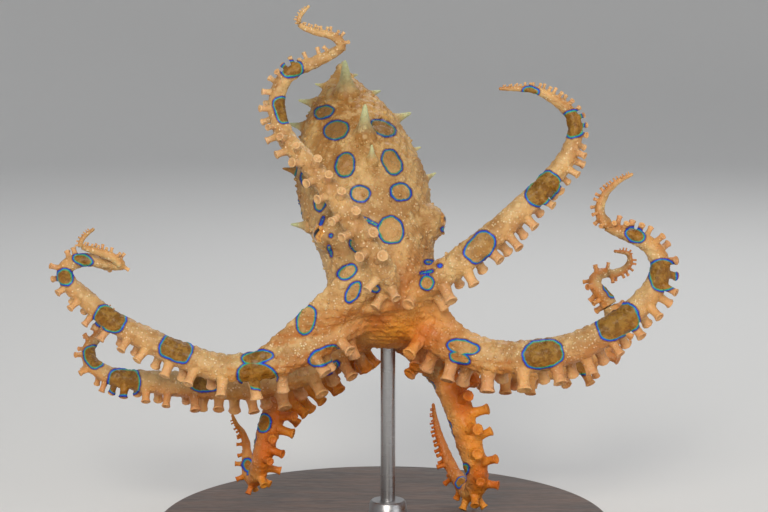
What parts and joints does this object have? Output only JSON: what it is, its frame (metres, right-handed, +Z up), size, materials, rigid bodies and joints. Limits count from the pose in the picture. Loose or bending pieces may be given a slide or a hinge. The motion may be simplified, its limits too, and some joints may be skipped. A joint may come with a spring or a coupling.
{
  "type": "blue-ringed octopus model on a display stand",
  "caption": "Life-size still model of a hovering blue-ringed octopus with arms spread and tips curled, suckers along each arm, on a round base with a short rod.",
  "frame": {"origin": "centre of the flat underside of the stand's base, on the surface that it stands on", "axes": "+X towards the animal's left arms, -Y towards the viewer of the picture, so the back of the mantle looks along -Y, +Z up"},
  "size_m": [0.1234, 0.092, 0.108],
  "materials": {
    "skin": "moist cream and tan skin with brown patches ringed in blue",
    "eye": "gold iris with a dark slanted pupil under a clear wet surface",
    "base": "dark stained wood, satin varnish",
    "rod": "brushed steel rod with a turned collar"
  },
  "bodies": {
    "root": {"mantle": "skin", "head": "skin", "eye_left": "eye", "eye_right": "eye", "siphon": "skin", "crown": "skin", "arm_r1_root": "skin", "arm_r1_lower": "skin", "arm_r1_upper": "skin", "arm_r1_tip": "skin", "arm_r2_root": "skin", "arm_r2_lower": "skin", "arm_r2_upper": "skin", "arm_r2_tip": "skin", "arm_r3_root": "skin", "arm_r3_lower": "skin", "arm_r3_upper": "skin", "arm_r3_tip": "skin", "arm_r4_root": "skin", "arm_r4_lower": "skin", "arm_r4_upper": "skin", "arm_r4_tip": "skin", "arm_l1_root": "skin", "arm_l1_lower": "skin", "arm_l1_upper": "skin", "arm_l1_tip": "skin", "arm_l2_root": "skin", "arm_l2_lower": "skin", "arm_l2_upper": "skin", "arm_l2_tip": "skin", "arm_l3_root": "skin", "arm_l3_lower": "skin", "arm_l3_upper": "skin", "arm_l3_tip": "skin", "arm_l4_root": "skin", "arm_l4_lower": "skin", "arm_l4_upper": "skin", "arm_l4_tip": "skin", "stand_base": "base", "stand_rod": "rod"}
  },
  "joints": []
}
